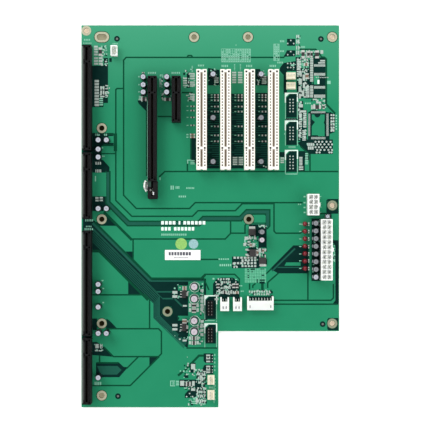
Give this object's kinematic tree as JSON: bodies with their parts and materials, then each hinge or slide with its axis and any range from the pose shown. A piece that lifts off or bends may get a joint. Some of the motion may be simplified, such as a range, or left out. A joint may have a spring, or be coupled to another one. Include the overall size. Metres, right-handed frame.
{
  "type": "passive backplane board",
  "caption": "L-shaped passive backplane board with a column of host card slots, expansion slots, a card latch, power and fan headers, capacitors and lamps.",
  "frame": {"origin": "below the middle of the board's outline, level with the tips of the solder pins", "axes": "+Z out of the component side, +X to the right and +Y to the top edge, as the board is seen in the picture"},
  "size_m": [0.2202, 0.3266, 0.0158],
  "materials": {
    "solder_mask": "green solder mask over copper, glass fibre laminate",
    "black_nylon": "moulded black glass-filled nylon",
    "ivory_nylon": "moulded ivory nylon",
    "white_nylon": "moulded natural white nylon",
    "header_black": "moulded black header base",
    "tin_plate": "bright tin plate",
    "gold_plate": "thin gold plate",
    "red_lens": "red moulded lens",
    "can_sleeve": "black shrink sleeve with a bare metal top",
    "mould_compound": "black moulding compound"
  },
  "bodies": {
    "backplane": {"circuit_board": "solder_mask", "latch_frame": "black_nylon", "host_slot_a": "black_nylon", "host_slot_b": "black_nylon", "host_slot_c": "black_nylon", "host_slot_d": "black_nylon", "graphics_slot": "black_nylon", "short_slot": "black_nylon", "bus_slot_1": "ivory_nylon", "bus_slot_2": "ivory_nylon", "bus_slot_3": "ivory_nylon", "bus_slot_4": "ivory_nylon", "main_power_header": "white_nylon", "main_power_pins": "tin_plate", "cpu_power_header": "white_nylon", "cpu_power_pins": "tin_plate", "signal_wafer": "white_nylon", "signal_wafer_pins": "tin_plate", "switch_wafer_1": "white_nylon", "switch_wafer_pins_1": "tin_plate", "switch_wafer_2": "white_nylon", "switch_wafer_pins_2": "tin_plate", "sensor_wafer": "white_nylon", "sensor_wafer_pins": "tin_plate", "pin_header_1": "header_black", "pin_header_posts_1": "gold_plate", "pin_header_2": "header_black", "pin_header_posts_2": "gold_plate", "fan_header_1": "white_nylon", "fan_header_pins_1": "tin_plate", "fan_header_2": "white_nylon", "fan_header_pins_2": "tin_plate", "fan_header_3": "white_nylon", "fan_header_pins_3": "tin_plate", "fan_header_4": "white_nylon", "fan_header_pins_4": "tin_plate", "status_lamp_1": "red_lens", "status_lamp_2": "red_lens", "status_lamp_3": "red_lens", "status_lamp_4": "red_lens", "status_lamp_5": "red_lens", "status_lamp_6": "red_lens", "status_lamp_7": "red_lens", "capacitors": "can_sleeve", "regulator_bodies": "mould_compound", "chip_bodies": "mould_compound", "regulator_metal": "tin_plate", "chip_metal": "tin_plate"},
    "latch_lever": {"latch_lever": "white_nylon"}
  },
  "joints": [
    {"name": "latch_swing", "type": "hinge", "parent": "backplane", "child": "latch_lever", "pos_m": [-0.04754, 0.0259, 0.0077], "axis": [0, 0, 1], "range_deg": [0, 18]}
  ]
}
